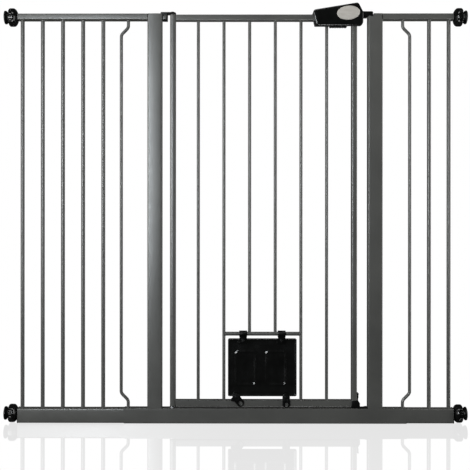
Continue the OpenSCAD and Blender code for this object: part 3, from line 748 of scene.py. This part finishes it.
def flap_panel():
    """The flap: a rounded rim, a recessed face and two soft raised frames, the same on both sides."""
    half_w, half_h = PANEL_HALF_W, PANEL_HALF_H
    across, up = round(2 * half_w / PANEL_STEP), round(2 * half_h / PANEL_STEP)

    def place(i, k):
        x, z = (2 * i / across - 1) * half_w, (2 * k / up - 1) * half_h
        qx, qz = abs(x) - half_w + PANEL_CORNER, abs(z) - half_h + PANEL_CORNER
        if qx > 0 and qz > 0:
            pull = max(qx, qz) / math.hypot(qx, qz)
            x = math.copysign(half_w - PANEL_CORNER + qx * pull, x)
            z = math.copysign(half_h - PANEL_CORNER + qz * pull, z)
        return x, z

    def thickness(x, z):
        edge = -rounded_distance(x, z, half_w, half_h, PANEL_CORNER)
        height = FACE_DEPTH + RIM_RISE * (1 - smooth(edge, 3.4, 5.6))
        for dx, dz in FRAME_MIDDLES:
            line = abs(rounded_distance(x - dx, z - (dz - PANEL_Z), FRAME_SIZE[0] / 2 - 2,
                                        FRAME_SIZE[1] / 2 - 2, FRAME_CORNER))
            height += FRAME_RISE * (1 - smooth(line, 0.2, 3.6))
        for clip in CLIP_X:
            near = rounded_distance(x + PANEL_X - clip, z + PANEL_Z - CLIP_Z, 12, 11, 3)
            height = max(height, FACE_DEPTH + RIM_RISE * (1 - smooth(near, -1, 1)))
        return height - (EDGE_R - math.sqrt(max(0, EDGE_R ** 2 - max(0, EDGE_R - edge) ** 2)))

    bm = bmesh.new()
    sides = {}
    for sign in (-1, 1):
        sides[sign] = [[None] * (up + 1) for _ in range(across + 1)]
        for i in range(across + 1):
            for k in range(up + 1):
                x, z = place(i, k)
                depth = sign * thickness(x, z) * MM
                sides[sign][i][k] = bm.verts.new(((x + PANEL_X) * MM, depth, (z + PANEL_Z) * MM))
        rows = sides[sign]
        for i in range(across):
            for k in range(up):
                bm.faces.new((rows[i][k], rows[i + 1][k], rows[i + 1][k + 1], rows[i][k + 1]))
    border = ([(i, 0) for i in range(across)] + [(across, k) for k in range(up)]
              + [(i, up) for i in range(across, 0, -1)] + [(0, k) for k in range(up, 0, -1)])
    for n, (i, k) in enumerate(border):
        j, m = border[(n + 1) % len(border)]
        bm.faces.new((sides[-1][i][k], sides[-1][j][m], sides[1][j][m], sides[1][i][k]))
    return piece_of("flap_panel_moulding", bm, "flap_panel", ["flap_panel"], 50)


TAB_SIDE = [(3.5, 2.6), (4, 3.2), (4, 6.0), (3.4, 6.8), (2.8, 7)]    # (depth, radius) in millimetres


def flap_tabs():
    """The two round tabs at the flap's lower edge that hold the catches' pins."""
    back = [(-depth * MM, radius * MM) for depth, radius in TAB_SIDE]
    front = [(depth * MM, radius * MM) for depth, radius in reversed(TAB_SIDE)]
    bm = bmesh.new()
    for x in LEVER_X:
        place = Matrix.Translation((x * MM, 0, TAB_Z * MM)) @ Matrix.Rotation(math.pi / 2, 4, "X")
        lathe(bm, place, back + front)
    return piece_of("flap_tabs", bm, "flap_panel")


flap_panel()
flap_tabs()

# ---------------------------------------------------------------- stage, lights and camera

MIRROR_NEAR = 0.235          # share of mirror in the floor under the gate
MIRROR_FAR = 0.16             # and at the picture's lower edge
FLOOR_FADE = 1.2             # distance in front of the gate over which the mirror fades


def white_floor():
    """A white floor with a faint mirror in front of the gate; it lights nothing."""
    bm = bmesh.new()
    bmesh.ops.create_grid(bm, x_segments=1, y_segments=1, size=6)
    mesh = bpy.data.meshes.new("floor")
    bm.to_mesh(mesh)
    bm.free()
    floor = bpy.data.objects.new("floor", mesh)
    floor.location.z = -0.4 * MM
    bpy.context.scene.collection.objects.link(floor)
    material = bpy.data.materials.new("floor")
    material.use_nodes = True
    tree = material.node_tree
    tree.nodes.remove(tree.nodes["Principled BSDF"])
    glow = add_node(tree, "ShaderNodeEmission")
    glow.inputs["Color"].default_value = (1, 1, 1, 1)
    mirror = add_node(tree, "ShaderNodeBsdfGlossy", roughness=0.0)
    mirror.inputs["Color"].default_value = (1, 1, 1, 1)
    place = add_node(tree, "ShaderNodeTexCoord")
    split = add_node(tree, "ShaderNodeSeparateXYZ", [("Vector", place.outputs["Object"])])
    fade = add_node(tree, "ShaderNodeMapRange", [("Value", split.outputs["Y"])], from_min=-0.01,
                    from_max=-FLOOR_FADE, to_min=MIRROR_NEAR, to_max=MIRROR_FAR)
    front = add_node(tree, "ShaderNodeMath", [("Value", split.outputs["Y"])], operation="LESS_THAN")
    front.inputs[1].default_value = 0.01
    share = add_node(tree, "ShaderNodeMath", [("Value", front.outputs["Value"])],
                     operation="MULTIPLY")
    tree.links.new(fade.outputs["Result"], share.inputs[1])
    mix = add_node(tree, "ShaderNodeMixShader", [("Fac", share.outputs["Value"])])
    tree.links.new(glow.outputs["Emission"], mix.inputs[1])
    tree.links.new(mirror.outputs["BSDF"], mix.inputs[2])
    tree.links.new(mix.outputs["Shader"], tree.nodes["Material Output"].inputs["Surface"])
    mesh.materials.append(material)
    floor.visible_diffuse = False
    floor.visible_glossy = False
    floor.visible_shadow = False


def studio_world(ambient):
    """A white studio to the camera and the floor's mirror, and a dim one to the gate itself."""
    world = bpy.data.worlds.new("studio")
    world.use_nodes = True
    tree = world.node_tree
    tree.nodes["Background"].inputs["Color"].default_value = (1, 1, 1, 1)
    tree.nodes["Background"].inputs["Strength"].default_value = 1.0
    dim = add_node(tree, "ShaderNodeBackground", strength=ambient)
    dim.inputs["Color"].default_value = (1, 1, 1, 1)
    path = add_node(tree, "ShaderNodeLightPath")
    seen = add_node(tree, "ShaderNodeMath", operation="MAXIMUM")
    tree.links.new(path.outputs["Is Camera Ray"], seen.inputs[0])
    tree.links.new(path.outputs["Is Singular Ray"], seen.inputs[1])
    mix = add_node(tree, "ShaderNodeMixShader", [("Fac", seen.outputs["Value"])])
    tree.links.new(dim.outputs["Background"], mix.inputs[1])
    tree.links.new(tree.nodes["Background"].outputs["Background"], mix.inputs[2])
    tree.links.new(mix.outputs["Shader"], tree.nodes["World Output"].inputs["Surface"])
    bpy.context.scene.world = world


def softbox(name, place, aim, width, height, power, spread=180, tint=(1, 1, 1)):
    """A rectangular light at place that faces aim; the camera doesn't see it."""
    light = bpy.data.lights.new(name, "AREA")
    light.shape = "RECTANGLE"
    light.size = width
    light.size_y = height
    light.energy = power
    light.spread = math.radians(spread)
    light.color = tint
    lamp = bpy.data.objects.new(name, light)
    lamp.location = place
    lamp.rotation_euler = (Vector(aim) - Vector(place)).to_track_quat("-Z", "Y").to_euler()
    lamp.visible_camera = False
    bpy.context.scene.collection.objects.link(lamp)
    return lamp


white_floor()
studio_world(0.05)
softbox("key", (-1.9, -2.3, 0.9), (0, 0, 0.5), 0.6, 1.2, 50)
softbox("left_side", (-1.45, -0.35, 0.65), (0, 0, 0.6), 0.5, 1.6, 5)
softbox("right_side", (1.45, -0.35, 0.65), (0, 0, 0.6), 0.5, 1.6, 17)
softbox("left_strip", (-0.80, -2.4, 0.89), (-0.2, 0, 0.7), 0.11, 1.2, 38, 180, (0.90, 0.96, 1.0))
back = softbox("back", (0.5, 2.6, 1.0), (0, 0, 0.5), 1.0, 1.4, 45)
back.visible_glossy = False
glints = softbox("overhead", (0, -1.6, 3.0), (0, 0, 0.5), 3.0, 0.35, 34)
glints.visible_diffuse = False
softbox("low", (0, -1.0, -0.4), (0, 0, 1.03), 1.6, 0.3, 0.8, 18)

CAMERA_DISTANCE = 2.035
CAMERA_HEIGHT = 0.495
VIEW_WIDTH = 1.1985           # width of the picture at the gate's middle plane
SHIFT_Y = -0.0143             # share of the width that the picture's middle lies below the lens
YAW = math.radians(0.22)
ROLL = math.radians(0.03)
camera_data = bpy.data.cameras.new("camera")
camera_data.sensor_width = 36.0
camera_data.lens = camera_data.sensor_width * CAMERA_DISTANCE / VIEW_WIDTH
camera_data.shift_y = SHIFT_Y
camera_data.shift_x = math.tan(YAW) * CAMERA_DISTANCE / VIEW_WIDTH
camera = bpy.data.objects.new("camera", camera_data)
camera.location = (-0.9 * MM, -CAMERA_DISTANCE, CAMERA_HEIGHT)
level = Euler((math.pi / 2, 0, YAW)).to_matrix()
camera.rotation_euler = (level @ Matrix.Rotation(ROLL, 3, "Z")).to_euler()
bpy.context.scene.collection.objects.link(camera)
bpy.context.scene.camera = camera
bpy.context.scene.view_settings.view_transform = "Standard"
